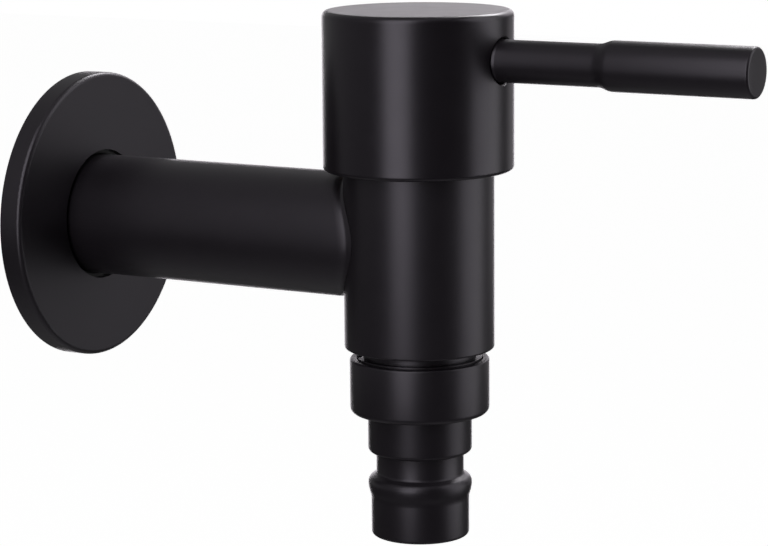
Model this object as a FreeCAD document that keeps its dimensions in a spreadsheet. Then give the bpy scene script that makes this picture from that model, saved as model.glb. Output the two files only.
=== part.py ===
import FreeCAD, Part
import os
import Sketcher

# Cold water tap for a wall, in millimetres.
# The origin is on the inlet arm's axis at the face of the wall. The wall fills +Y,
# the tap stands out of it along -Y, +Z is up and +X is to the right of someone facing the tap.

doc = FreeCAD.newDocument("cold_water_tap")
sheet = doc.addObject("Spreadsheet::Sheet", "Sizes")

# The driving dimensions, each written once: every piece below is bound to these cells
sizes = {
    # Half-inch pipe thread, drawn at its major radius wherever it is used
    "thread_radius": 10.4775,
    "thread_gap": 0.05,

    # Inlet arm, a brass tube brazed to the valve body
    "arm_reach": 67.4,
    "arm_radius": 10.5,
    "arm_bore_radius": 8.5,
    "braze_gap": 0.05,
    "cope_chamfer": 0.4,

    # Threaded tail inside the wall
    "tail_length": 10.0,
    "tail_chamfer": 1.1,
    "tail_bore_radius": 6.5,
    "tail_spigot_length": 11.0,
    "run_out_width": 1.2,
    "run_out_radius": 9.4,

    # Escutcheon, a turned disc that slides on the arm
    "escutcheon_radius": 25.0,
    "escutcheon_thickness": 4.1,
    "escutcheon_edge": 0.8,
    "escutcheon_bore_gap": 0.9,
    "hub_radius": 15.0,
    "hub_lift": 0.5,
    "rim_wall": 1.8,
    "recess_depth": 2.5,
    "grip_ring_section": 0.85,
    "grip_ring_gap": 0.05,
    "grip_groove_width": 2.0,

    # Valve body, a round bar with its port, chamber, seat and outlet
    "body_radius": 12.5,
    "body_rise": 15.0,
    "body_drop": 18.05,
    "body_edge": 0.4,
    "body_thread_depth": 6.8,
    "port_radius": 6.5,
    "chamber_radius": 9.3,
    "seat_drop": 11.0,
    "outlet_bore_radius": 6.0,
    "outlet_thread_length": 7.45,
    "guide_groove_height": 12.3,
    "guide_groove_width": 2.0,
    "guide_groove_depth": 0.75,

    # Cartridge housing
    "housing_thread_length": 6.5,
    "flange_radius": 11.6,
    "flange_height": 2.0,
    "hex_across": 19.0,
    "hex_height": 4.5,
    "nose_radius": 9.2,
    "sleeve_radius": 8.6,
    "sleeve_lift": 0.5,
    "disc_chamber_radius": 7.5,
    "window_width": 7.6,
    "window_height": 5.0,
    "housing_ring_section": 0.75,
    "housing_ring_height": 6.8,
    "ring_gap": 0.02,
    "groove_play": 0.15,
    "key_width": 2.8,
    "key_inner_radius": 6.55,
    "rib_outer_radius": 8.0,
    "stop_inner_radius": 6.0,
    "stop_gap": 0.15,

    # Seal, ceramic discs and the spindle that turns the upper one
    "seal_thickness": 2.5,
    "seal_bore_radius": 5.7,
    "disc_thickness": 3.0,
    "fixed_disc_radius": 7.4,
    "moving_disc_radius": 7.3,
    "notch_width": 3.0,
    "notch_depth": 1.0,
    "opening_inner": 1.75,
    "opening_outer": 4.8,
    "opening_inner_width": 1.2,
    "opening_outer_width": 5.6,
    "driver_height": 5.3,
    "driver_width": 5.5,
    "tongue_width": 3.0,
    "tongue_length": 11.0,
    "tongue_depth": 1.2,
    "tongue_gap": 0.1,
    "collar_radius": 7.2,
    "collar_height": 2.0,
    "washer_thickness": 0.5,
    "washer_bore_radius": 4.8,
    "end_play": 0.1,
    "spindle_radius": 4.5,
    "running_gap": 0.05,
    "spindle_ring_section": 0.75,
    "lower_ring_height": 10.0,
    "ring_pitch": 4.0,
    "circlip_groove_radius": 3.7,
    "circlip_groove_width": 0.95,
    "circlip_thickness": 0.8,
    "circlip_play": 0.08,
    "circlip_lift": 0.2,
    "circlip_outer_radius": 6.0,
    "circlip_slot": 2.0,
    "circlip_ear_width": 6.4,
    "circlip_ear_reach": 8.3,
    "circlip_eye_radius": 0.55,
    "circlip_eye_spread": 2.1,
    "circlip_eye_reach": 7.0,

    # Serrations that join spindle and handle
    "spline_tip_radius": 4.0,
    "spline_root_radius": 3.55,
    "spline_land_angle": 2.0,
    "spline_count": 20,
    "spline_height": 23.7,
    "spindle_top": 33.8,
    "spindle_chamfer": 0.35,
    "spline_gap": 0.06,

    # Handle cap over the cartridge
    "cap_radius": 15.8,
    "cap_bottom": 11.86,
    "cap_top": 38.2,
    "cap_top_edge": 1.0,
    "cap_bottom_edge": 0.7,
    "cap_cavity_radius": 13.9,
    "cap_hub_bottom": 24.0,
    "cap_bore_top": 34.5,
    "guide_ring_gap": 0.1,
    "guide_ring_thickness": 1.8,

    # Lever and its seat in the cap
    "lever_height": 30.4,
    "lever_thread_radius": 2.5,
    "lever_thread_start": 7.2,
    "lever_hole_floor": 6.6,
    "lever_seat_depth": 2.0,
    "lever_seat_gap": 0.3,
    "lever_seat_chamfer": 0.25,
    "shank_radius": 3.5,
    "grip_radius": 4.1,
    "shoulder_start": 33.2,
    "shoulder_end": 34.9,
    "lever_reach": 59.4,
    "lever_edge": 0.45,

    # Grub screw behind the lever
    "screw_radius": 2.5,
    "screw_length": 8.0,
    "screw_tip_gap": 0.15,
    "screw_point_length": 1.0,
    "screw_point_radius": 1.3,
    "screw_socket_across": 2.5,
    "screw_socket_depth": 3.0,

    # Hose connector for a push-on coupling
    "neck_gap": 1.72,
    "connector_radius": 11.65,
    "connector_bottom": 29.03,
    "connector_top_chamfer": 0.28,
    "connector_edge": 0.9,
    "connector_bore_radius": 5.5,
    "gasket_thickness": 1.5,
    "gasket_radius": 10.2,
    "gasket_bore_radius": 6.3,
    "step_radius": 8.7,
    "step_bottom": 35.7,
    "step_edge": 0.55,
    "waist_radius": 7.32,
    "bead_radius": 8.7,
    "bead_top": 39.4,
    "bead_flank": 0.9,
    "bead_land": 1.5,
    "bead_cove": 0.5,
    "bead_crest": 1.6,
    "tip_top": 43.3,
    "tip_radius": 8.2,
    "tip_bottom": 50.0,
    "tip_edge": 0.4,
}
for row, (alias, millimetres) in enumerate(sizes.items(), 1):
    sheet.set(f"A{row}", str(millimetres))
    sheet.setAlias(f"A{row}", alias)

doc.recompute()

# Heights and radii that several pieces share, as formulas on the sheet
SEAT = "-Sizes.seat_drop"
FIXED_DISC = f"({SEAT} + Sizes.seal_thickness)"
MOVING_DISC = f"({FIXED_DISC} + Sizes.disc_thickness)"
DRIVER = f"({MOVING_DISC} + Sizes.disc_thickness)"
COLLAR = f"({DRIVER} + Sizes.driver_height)"
WASHER = f"({COLLAR} + Sizes.collar_height)"
SHOULDER = f"({WASHER} + Sizes.washer_thickness + Sizes.end_play)"
HOUSING_TOP = "(Sizes.body_rise + Sizes.flange_height + Sizes.hex_height)"
CIRCLIP = f"({HOUSING_TOP} + Sizes.circlip_lift)"
SPINDLE_BORE = "(Sizes.spindle_radius + Sizes.running_gap)"
SPINDLE_RING = f"({SPINDLE_BORE} - Sizes.ring_gap - Sizes.spindle_ring_section)"
SPINDLE_GROOVE = f"({SPINDLE_RING} - Sizes.spindle_ring_section - Sizes.ring_gap)"
HOUSING_RING = "(Sizes.chamber_radius - Sizes.ring_gap - Sizes.housing_ring_section)"
HOUSING_GROOVE = f"({HOUSING_RING} - Sizes.housing_ring_section - Sizes.ring_gap)"
THREAD_BORE = "(Sizes.thread_radius + Sizes.thread_gap)"
GRIP_RING = "(Sizes.arm_radius + Sizes.grip_ring_gap + Sizes.grip_ring_section)"
GRIP_GROOVE = f"({GRIP_RING} + Sizes.grip_ring_section + Sizes.grip_ring_gap)"
ESCUTCHEON_BORE = "(Sizes.arm_radius + Sizes.escutcheon_bore_gap)"
GUIDE_GROOVE = "(Sizes.body_radius - Sizes.guide_groove_depth)"
CONNECTOR_TOP = "-(Sizes.body_drop + Sizes.neck_gap)"
OUTLET_END = "-(Sizes.body_drop + Sizes.outlet_thread_length)"
GASKET_SEAT = f"({OUTLET_END} - Sizes.gasket_thickness)"
BEAD_CREST = "-(Sizes.bead_top + Sizes.bead_flank)"
LEVER_SEAT = "(Sizes.cap_radius - Sizes.lever_seat_depth)"
CAP_HUB = "max(Sizes.cap_hub_bottom; Sizes.spline_height + Sizes.spline_gap)"

ALONG_ARM = FreeCAD.Rotation(FreeCAD.Vector(1, 0, 0), 90)
TO_THE_WALL = FreeCAD.Rotation(FreeCAD.Vector(1, 0, 0), -90)
nodes = []


def value(formula):
    """Work out a formula on the sheet."""
    return float(sheet.evalExpression(formula))


def new_sketch(body, name, plane, offset="0"):
    """Lay a sketch on one of the body's own planes, or at an offset from it."""
    planes = {feature.Role: feature for feature in body.Origin.OriginFeatures}
    sketch = body.newObject("Sketcher::SketchObject", name)
    sketch.AttachmentSupport = [(planes[plane], "")]
    sketch.MapMode = "FlatFace"
    sketch.setExpression("AttachmentOffset.Base.z", offset)
    return sketch


def bind(sketch, kind, line, end, formula):
    """Fix one coordinate of a point to a formula on the sheet."""
    constraint = Sketcher.Constraint(kind, -1, 1, line, end, value(formula))
    number = sketch.addConstraint(constraint)
    sketch.setExpression(f"Constraints[{number}]", formula)


def draw_outline(sketch, corners):
    """Draw a closed outline of straight lines through corners given as pairs of formulas."""
    first = sketch.GeometryCount
    count = len(corners)
    places = [FreeCAD.Vector(value(across), value(along), 0) for across, along in corners]
    for number in range(count):
        line = Part.LineSegment(places[number], places[(number + 1) % count])
        sketch.addGeometry(line, False)
    for number in range(count):
        following = first + (number + 1) % count
        sketch.addConstraint(Sketcher.Constraint("Coincident", first + number, 2, following, 1))
    for number, (across, along) in enumerate(corners):
        bind(sketch, "DistanceX", first + number, 1, across)
        bind(sketch, "DistanceY", first + number, 1, along)


def draw_circle(sketch, across, along, radius):
    """Draw a circle with its centre and radius bound to formulas."""
    centre = FreeCAD.Vector(value(across), value(along), 0)
    circle = Part.Circle(centre, FreeCAD.Vector(0, 0, 1), value(radius))
    number = sketch.addGeometry(circle, False)
    bind(sketch, "DistanceX", number, 3, across)
    bind(sketch, "DistanceY", number, 3, along)
    radius_constraint = sketch.addConstraint(Sketcher.Constraint("Radius", number, value(radius)))
    sketch.setExpression(f"Constraints[{radius_constraint}]", radius)


def rectangle(left, right, bottom, top):
    """Give the four corners of a rectangle in order."""
    return [(left, bottom), (right, bottom), (right, top), (left, top)]


def hexagon(across_flats):
    """Give the six corners of a hexagon with this distance across its flats."""
    corner = f"{across_flats} / 2 / cos(30 deg)"
    return [(f"{corner} * cos({turn} deg)", f"{corner} * sin({turn} deg)") for turn in range(0, 360, 60)]


def turned(label, outline):
    """Start a piece by spinning an outline of radius and height about the piece's own axis."""
    body = doc.addObject("PartDesign::Body", label)
    body.Label = label
    sketch = new_sketch(body, f"{label}_outline", "XZ_Plane")
    draw_outline(sketch, outline)
    turning = body.newObject("PartDesign::Revolution", f"{label}_turned")
    turning.Profile = sketch
    turning.ReferenceAxis = (sketch, ["V_Axis"])
    turning.Angle = 360
    nodes.append(body)
    return body


def cut(body, name, sketch, depth=None, reverse=False):
    """Cut a sketch into the body, to a depth or right through both ways."""
    pocket = body.newObject("PartDesign::Pocket", name)
    pocket.Profile = sketch
    if depth is None:
        pocket.Type = "ThroughAll"
        pocket.Midplane = True
    else:
        pocket.Type = "Length"
        pocket.setExpression("Length", depth)
        pocket.Reversed = reverse
    return pocket


def raise_pad(body, name, sketch, height, reverse=False):
    """Raise a sketch into a block on the body."""
    pad = body.newObject("PartDesign::Pad", name)
    pad.Profile = sketch
    pad.setExpression("Length", height)
    pad.Reversed = reverse
    return pad


def around(body, feature, axis_sketch, count):
    """Repeat a feature evenly around the piece's own axis."""
    pattern = body.newObject("PartDesign::PolarPattern", f"{feature.Name}_around")
    pattern.Originals = [feature]
    pattern.Axis = (axis_sketch, ["N_Axis"])
    pattern.Angle = 360
    pattern.setExpression("Occurrences", count)
    body.Tip = pattern
    return pattern


def round_edges(feature, radius, height):
    """Name the round edges with this radius at this height on the piece's own axis."""
    near = 0.01
    names = []
    for number, edge in enumerate(feature.Shape.Edges, 1):
        if not isinstance(edge.Curve, Part.Circle):
            continue
        centre = edge.Curve.Center
        same_radius = abs(edge.Curve.Radius - radius) < near
        if same_radius and abs(centre.z - height) < near and centre.x ** 2 + centre.y ** 2 < near:
            names.append(f"Edge{number}")
    return names


def crossing_edges(feature, first_radius, second_radius):
    """Name the edges where two round faces with these radii cross."""
    near = 0.001
    wanted = sorted((first_radius, second_radius))
    names = []
    for number, edge in enumerate(feature.Shape.Edges, 1):
        faces = feature.Shape.ancestorsOfType(edge, Part.Face)
        radii = sorted(face.Surface.Radius for face in faces if isinstance(face.Surface, Part.Cylinder))
        if len(radii) == 2 and abs(radii[0] - wanted[0]) < near and abs(radii[1] - wanted[1]) < near:
            names.append(f"Edge{number}")
    return names


def ease_edges(body, kind, amount, edges):
    """Round or chamfer named edges of the piece as it stands."""
    base = body.Tip
    easing = body.newObject(f"PartDesign::{kind}", f"{body.Name}_{kind.lower()}")
    easing.Base = (base, edges)
    easing.setExpression("Radius" if kind == "Fillet" else "Size", amount)


def ease_rim(body, kind, amount, radius, height):
    """Round or chamfer a rim, found by formulas for its radius and its height."""
    doc.recompute()
    ease_edges(body, kind, amount, round_edges(body.Tip, value(radius), value(height)))


def ease_crossing(body, kind, amount, first_radius, second_radius):
    """Round or chamfer the edge where two round faces cross, found by formulas for their radii."""
    doc.recompute()
    ease_edges(body, kind, amount, crossing_edges(body.Tip, value(first_radius), value(second_radius)))


def stand_on_tap_axis(piece):
    """Put an upright piece on the vertical axis of the tap."""
    piece.setExpression("Placement.Base.y", "-Sizes.arm_reach")


def lay_from_wall(piece):
    """Turn a piece so that its own axis runs from the wall out along the arm."""
    piece.Placement = FreeCAD.Placement(FreeCAD.Vector(0, 0, 0), ALONG_ARM)


def lay_at_lever(piece, rotation):
    """Turn a piece so that its own axis runs out of the cap at the lever's height."""
    piece.Placement = FreeCAD.Placement(FreeCAD.Vector(0, 0, 0), rotation)
    piece.setExpression("Placement.Base.y", "-Sizes.arm_reach")
    piece.setExpression("Placement.Base.z", "Sizes.lever_height")


def ring(label, centre_radius, section, height):
    """Make a rubber ring of round section, lying level at a height on its own axis."""
    torus = doc.addObject("Part::Torus", label)
    torus.setExpression("Radius1", centre_radius)
    torus.setExpression("Radius2", section)
    torus.setExpression("Placement.Base.z", height)
    return torus


# Inlet tail: brass connector with the pipe thread and its run-out groove, brazed into the arm's end
inlet_tail = turned("inlet_tail", [
    ("Sizes.tail_bore_radius", "-Sizes.tail_length"),
    ("Sizes.thread_radius - Sizes.tail_chamfer", "-Sizes.tail_length"),
    ("Sizes.thread_radius", "-Sizes.tail_length + Sizes.tail_chamfer"),
    ("Sizes.thread_radius", "0"),
    ("Sizes.run_out_radius", "0"),
    ("Sizes.run_out_radius", "Sizes.run_out_width"),
    ("Sizes.arm_bore_radius - Sizes.braze_gap", "Sizes.run_out_width"),
    ("Sizes.arm_bore_radius - Sizes.braze_gap", "Sizes.tail_spigot_length"),
    ("Sizes.tail_bore_radius", "Sizes.tail_spigot_length"),
])
lay_from_wall(inlet_tail)

# Inlet arm: tube that starts at the run-out groove, its outer end coped to the round of the body
inlet_arm = turned("inlet_arm", [
    ("Sizes.arm_bore_radius", "Sizes.run_out_width"),
    ("Sizes.arm_radius", "Sizes.run_out_width"),
    ("Sizes.arm_radius", "Sizes.arm_reach"),
    ("Sizes.arm_bore_radius", "Sizes.arm_reach"),
])
cope = new_sketch(inlet_arm, "arm_cope", "XZ_Plane")
draw_circle(cope, "0", "Sizes.arm_reach", "Sizes.body_radius + Sizes.braze_gap")
cut(inlet_arm, "arm_cope_cut", cope)
ease_crossing(
    inlet_arm, "Chamfer", "Sizes.cope_chamfer", "Sizes.arm_radius", "Sizes.body_radius + Sizes.braze_gap")
lay_from_wall(inlet_arm)

# Escutcheon: disc with a rim on the wall, a recess behind its face and a hub around the arm
escutcheon = turned("escutcheon", [
    (ESCUTCHEON_BORE, "Sizes.hub_lift"),
    ("Sizes.hub_radius", "Sizes.hub_lift"),
    ("Sizes.hub_radius", "Sizes.recess_depth"),
    ("Sizes.escutcheon_radius - Sizes.rim_wall", "Sizes.recess_depth"),
    ("Sizes.escutcheon_radius - Sizes.rim_wall", "0"),
    ("Sizes.escutcheon_radius", "0"),
    ("Sizes.escutcheon_radius", "Sizes.escutcheon_thickness"),
    (ESCUTCHEON_BORE, "Sizes.escutcheon_thickness"),
    (ESCUTCHEON_BORE, "(Sizes.escutcheon_thickness + Sizes.grip_groove_width) / 2"),
    (GRIP_GROOVE, "(Sizes.escutcheon_thickness + Sizes.grip_groove_width) / 2"),
    (GRIP_GROOVE, "(Sizes.escutcheon_thickness - Sizes.grip_groove_width) / 2"),
    (ESCUTCHEON_BORE, "(Sizes.escutcheon_thickness - Sizes.grip_groove_width) / 2"),
])
ease_rim(
    escutcheon, "Fillet", "Sizes.escutcheon_edge", "Sizes.escutcheon_radius", "Sizes.escutcheon_thickness")
lay_from_wall(escutcheon)

# Escutcheon ring: rubber ring in the hub's groove, which grips the arm
escutcheon_ring = ring("escutcheon_ring", GRIP_RING, "Sizes.grip_ring_section", "0")
lay_from_wall(escutcheon_ring)
escutcheon_ring.setExpression("Placement.Base.y", "-Sizes.escutcheon_thickness / 2")
nodes.append(escutcheon_ring)

# Valve body: upright bar with the cartridge thread on top and the outlet thread below
valve_body = turned("valve_body", [
    ("Sizes.outlet_bore_radius", OUTLET_END),
    ("Sizes.thread_radius", OUTLET_END),
    ("Sizes.thread_radius", "-Sizes.body_drop"),
    ("Sizes.body_radius", "-Sizes.body_drop"),
    ("Sizes.body_radius", "Sizes.guide_groove_height"),
    (GUIDE_GROOVE, "Sizes.guide_groove_height"),
    (GUIDE_GROOVE, "Sizes.guide_groove_height + Sizes.guide_groove_width"),
    ("Sizes.body_radius", "Sizes.guide_groove_height + Sizes.guide_groove_width"),
    ("Sizes.body_radius", "Sizes.body_rise"),
    (THREAD_BORE, "Sizes.body_rise"),
    (THREAD_BORE, "Sizes.body_rise - Sizes.body_thread_depth"),
    ("Sizes.chamber_radius", "Sizes.body_rise - Sizes.body_thread_depth"),
    ("Sizes.chamber_radius", SEAT),
    ("Sizes.outlet_bore_radius", SEAT),
])
port = new_sketch(valve_body, "body_port", "XZ_Plane")
draw_circle(port, "0", "0", "Sizes.port_radius")
cut(valve_body, "body_port_cut", port, "Sizes.body_radius")
ease_rim(valve_body, "Fillet", "Sizes.body_edge", "Sizes.body_radius", "-Sizes.body_drop")
stand_on_tap_axis(valve_body)

# Cartridge housing: brass, screwed into the body, with a hexagon on top and windows in its sleeve
cartridge_housing = turned("cartridge_housing", [
    ("Sizes.disc_chamber_radius", f"{SEAT} + Sizes.sleeve_lift"),
    ("Sizes.sleeve_radius", f"{SEAT} + Sizes.sleeve_lift"),
    ("Sizes.sleeve_radius", SHOULDER),
    ("Sizes.nose_radius", SHOULDER),
    ("Sizes.nose_radius", "Sizes.housing_ring_height - Sizes.housing_ring_section - Sizes.groove_play"),
    (HOUSING_GROOVE, "Sizes.housing_ring_height - Sizes.housing_ring_section - Sizes.groove_play"),
    (HOUSING_GROOVE, "Sizes.housing_ring_height + Sizes.housing_ring_section + Sizes.groove_play"),
    ("Sizes.nose_radius", "Sizes.housing_ring_height + Sizes.housing_ring_section + Sizes.groove_play"),
    ("Sizes.nose_radius", "Sizes.body_rise - Sizes.housing_thread_length"),
    ("Sizes.thread_radius", "Sizes.body_rise - Sizes.housing_thread_length"),
    ("Sizes.thread_radius", "Sizes.body_rise"),
    ("Sizes.flange_radius", "Sizes.body_rise"),
    ("Sizes.flange_radius", "Sizes.body_rise + Sizes.flange_height"),
    (SPINDLE_BORE, "Sizes.body_rise + Sizes.flange_height"),
    (SPINDLE_BORE, SHOULDER),
    ("Sizes.disc_chamber_radius", SHOULDER),
])
windows = new_sketch(cartridge_housing, "housing_windows", "XZ_Plane")
draw_outline(windows, rectangle(
    "-Sizes.window_width / 2", "Sizes.window_width / 2", DRIVER, f"{DRIVER} + Sizes.window_height"))
cut(cartridge_housing, "housing_windows_cut", windows)
spanner_hex = new_sketch(
    cartridge_housing, "housing_hex", "XY_Plane", "Sizes.body_rise + Sizes.flange_height")
draw_outline(spanner_hex, hexagon("Sizes.hex_across"))
draw_circle(spanner_hex, "0", "0", SPINDLE_BORE)
raise_pad(cartridge_housing, "housing_hex_pad", spanner_hex, "Sizes.hex_height")

# Two keys in the sleeve hold the fixed disc, and two ribs stop the driver after a quarter turn
keys = new_sketch(cartridge_housing, "housing_keys", "XY_Plane", f"{FIXED_DISC} + Sizes.groove_play")
half_key = "Sizes.key_width / 2"
draw_outline(keys, rectangle("Sizes.key_inner_radius", "Sizes.rib_outer_radius", f"-{half_key}", half_key))
draw_outline(keys, rectangle("-Sizes.rib_outer_radius", "-Sizes.key_inner_radius", f"-{half_key}", half_key))
raise_pad(cartridge_housing, "housing_keys_pad", keys, "Sizes.disc_thickness - 2 * Sizes.groove_play")
stops = new_sketch(cartridge_housing, "housing_stops", "XY_Plane", f"{DRIVER} + Sizes.groove_play")
half_stop = "(Sizes.stop_inner_radius - (Sizes.driver_width / 2 + Sizes.stop_gap) * sqrt(2))"
for side in ("1", "-1"):
    draw_outline(stops, [
        (f"{side} * (Sizes.stop_inner_radius - {half_stop}) / sqrt(2)",
         f"{side} * (Sizes.stop_inner_radius + {half_stop}) / sqrt(2)"),
        (f"{side} * (Sizes.stop_inner_radius + {half_stop}) / sqrt(2)",
         f"{side} * (Sizes.stop_inner_radius - {half_stop}) / sqrt(2)"),
        (f"{side} * (Sizes.rib_outer_radius + {half_stop}) / sqrt(2)",
         f"{side} * (Sizes.rib_outer_radius - {half_stop}) / sqrt(2)"),
        (f"{side} * (Sizes.rib_outer_radius - {half_stop}) / sqrt(2)",
         f"{side} * (Sizes.rib_outer_radius + {half_stop}) / sqrt(2)"),
    ])
raise_pad(cartridge_housing, "housing_stops_pad", stops, "Sizes.driver_height - 2 * Sizes.groove_play")
stand_on_tap_axis(cartridge_housing)

# Housing ring: rubber ring that seals the housing in the chamber
housing_ring = ring("housing_ring", HOUSING_RING, "Sizes.housing_ring_section", "Sizes.housing_ring_height")
stand_on_tap_axis(housing_ring)
nodes.append(housing_ring)

# Seat seal: silicone ring between the seat and the fixed disc
seat_seal = turned("seat_seal", [
    ("Sizes.seal_bore_radius", SEAT),
    ("Sizes.fixed_disc_radius", SEAT),
    ("Sizes.fixed_disc_radius", FIXED_DISC),
    ("Sizes.seal_bore_radius", FIXED_DISC),
])
stand_on_tap_axis(seat_seal)


def disc_openings(body, name, along_y):
    """Cut the two opposite waterways through a ceramic disc."""
    sketch = new_sketch(body, name, "XY_Plane")
    for side in ("1", "-1"):
        corners = [
            ("-Sizes.opening_inner_width / 2", f"{side} * Sizes.opening_inner"),
            ("Sizes.opening_inner_width / 2", f"{side} * Sizes.opening_inner"),
            ("Sizes.opening_outer_width / 2", f"{side} * Sizes.opening_outer"),
            ("-Sizes.opening_outer_width / 2", f"{side} * Sizes.opening_outer"),
        ]
        if not along_y:
            corners = [(along, across) for across, along in corners]
        draw_outline(sketch, corners)
    cut(body, f"{name}_cut", sketch)


# Fixed disc: ceramic, with notches for the housing's keys
fixed_disc = turned("fixed_disc", [
    ("0", FIXED_DISC),
    ("Sizes.fixed_disc_radius", FIXED_DISC),
    ("Sizes.fixed_disc_radius", MOVING_DISC),
    ("0", MOVING_DISC),
])
disc_openings(fixed_disc, "fixed_disc_openings", True)
notches = new_sketch(fixed_disc, "fixed_disc_notches", "XY_Plane")
notch_floor = "(Sizes.fixed_disc_radius - Sizes.notch_depth)"
half_notch = "Sizes.notch_width / 2"
draw_outline(notches, rectangle(notch_floor, "Sizes.sleeve_radius", f"-{half_notch}", half_notch))
draw_outline(notches, rectangle("-Sizes.sleeve_radius", f"-{notch_floor}", f"-{half_notch}", half_notch))
cut(fixed_disc, "fixed_disc_notches_cut", notches)
stand_on_tap_axis(fixed_disc)

# Moving disc: ceramic, with its waterways a quarter turn away from the fixed ones when shut
moving_disc = turned("moving_disc", [
    ("0", MOVING_DISC),
    ("Sizes.moving_disc_radius", MOVING_DISC),
    ("Sizes.moving_disc_radius", DRIVER),
    ("0", DRIVER),
])
disc_openings(moving_disc, "moving_disc_openings", False)
slot = new_sketch(moving_disc, "moving_disc_slot", "XY_Plane", DRIVER)
draw_outline(slot, rectangle(
    "-Sizes.tongue_width / 2 - Sizes.tongue_gap", "Sizes.tongue_width / 2 + Sizes.tongue_gap",
    "-Sizes.tongue_length / 2 - Sizes.tongue_gap", "Sizes.tongue_length / 2 + Sizes.tongue_gap"))
cut(moving_disc, "moving_disc_slot_cut", slot, "Sizes.tongue_depth + Sizes.tongue_gap")
stand_on_tap_axis(moving_disc)

# Spindle: brass, with a driver bar below, two seal grooves, a circlip groove and a serrated top
lower_groove = "(Sizes.lower_ring_height - Sizes.spindle_ring_section - Sizes.groove_play)"
groove_width = "(2 * Sizes.spindle_ring_section + 2 * Sizes.groove_play)"
spindle = turned("spindle", [
    ("0", DRIVER),
    ("Sizes.collar_radius", DRIVER),
    ("Sizes.collar_radius", WASHER),
    ("Sizes.spindle_radius", WASHER),
    ("Sizes.spindle_radius", lower_groove),
    (SPINDLE_GROOVE, lower_groove),
    (SPINDLE_GROOVE, f"{lower_groove} + {groove_width}"),
    ("Sizes.spindle_radius", f"{lower_groove} + {groove_width}"),
    ("Sizes.spindle_radius", f"{lower_groove} + Sizes.ring_pitch"),
    (SPINDLE_GROOVE, f"{lower_groove} + Sizes.ring_pitch"),
    (SPINDLE_GROOVE, f"{lower_groove} + Sizes.ring_pitch + {groove_width}"),
    ("Sizes.spindle_radius", f"{lower_groove} + Sizes.ring_pitch + {groove_width}"),
    ("Sizes.spindle_radius", CIRCLIP),
    ("Sizes.circlip_groove_radius", CIRCLIP),
    ("Sizes.circlip_groove_radius", f"{CIRCLIP} + Sizes.circlip_groove_width"),
    ("Sizes.spline_tip_radius", f"{CIRCLIP} + Sizes.circlip_groove_width"),
    ("Sizes.spline_tip_radius", "Sizes.spindle_top - Sizes.spindle_chamfer"),
    ("Sizes.spline_tip_radius - Sizes.spindle_chamfer", "Sizes.spindle_top"),
    ("0", "Sizes.spindle_top"),
])
sides = new_sketch(spindle, "driver_sides", "XZ_Plane")
draw_outline(sides, rectangle("Sizes.driver_width / 2", "Sizes.sleeve_radius", DRIVER, COLLAR))
draw_outline(sides, rectangle("-Sizes.sleeve_radius", "-Sizes.driver_width / 2", DRIVER, COLLAR))
cut(spindle, "driver_sides_cut", sides)
tongue = new_sketch(spindle, "driver_tongue", "XY_Plane", DRIVER)
draw_outline(tongue, rectangle(
    "-Sizes.tongue_width / 2", "Sizes.tongue_width / 2",
    "-Sizes.tongue_length / 2", "Sizes.tongue_length / 2"))
raise_pad(spindle, "driver_tongue_pad", tongue, "Sizes.tongue_depth", reverse=True)

PITCH_ANGLE = "360 / Sizes.spline_count"
NARROW_ANGLE = "Sizes.spline_land_angle / 2"
WIDE_ANGLE = f"({PITCH_ANGLE} - Sizes.spline_land_angle) / 2"


def serration(sketch, middle, near_radius, near_angle, far_radius, far_angle, far_peak):
    """Draw one serration's gap about its middle angle, its far side raised to a peak."""
    corners = []
    for radius, turn in (
        (near_radius, f"({middle} - {near_angle})"), (far_radius, f"({middle} - {far_angle})"),
        (far_peak, f"({middle})"),
        (far_radius, f"({middle} + {far_angle})"), (near_radius, f"({middle} + {near_angle})"),
    ):
        corners.append((f"{radius} * cos({turn})", f"{radius} * sin({turn})"))
    draw_outline(sketch, corners)


spindle_notch = new_sketch(spindle, "spindle_notch", "XY_Plane", "Sizes.spindle_top")
serration(
    spindle_notch, "0", "Sizes.spline_root_radius", NARROW_ANGLE, "Sizes.spline_tip_radius", WIDE_ANGLE,
    "(Sizes.spline_tip_radius / cos(360 deg / Sizes.spline_count))")
spindle_notch_cut = cut(
    spindle, "spindle_notch_cut", spindle_notch, "Sizes.spindle_top - Sizes.spline_height")
around(spindle, spindle_notch_cut, spindle_notch, "Sizes.spline_count")
stand_on_tap_axis(spindle)

# Spindle rings: two rubber rings in the spindle's grooves
lower_ring = ring("lower_ring", SPINDLE_RING, "Sizes.spindle_ring_section", "Sizes.lower_ring_height")
upper_ring = ring(
    "upper_ring", SPINDLE_RING, "Sizes.spindle_ring_section", "Sizes.lower_ring_height + Sizes.ring_pitch")
spindle_rings = doc.addObject("Part::Compound", "spindle_rings")
spindle_rings.Links = [lower_ring, upper_ring]
stand_on_tap_axis(spindle_rings)
nodes.append(spindle_rings)

# Thrust washer: slippery plastic washer between the spindle's collar and the housing
thrust_washer = turned("thrust_washer", [
    ("Sizes.washer_bore_radius", WASHER),
    ("Sizes.collar_radius", WASHER),
    ("Sizes.collar_radius", f"{WASHER} + Sizes.washer_thickness"),
    ("Sizes.washer_bore_radius", f"{WASHER} + Sizes.washer_thickness"),
])
stand_on_tap_axis(thrust_washer)

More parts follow.
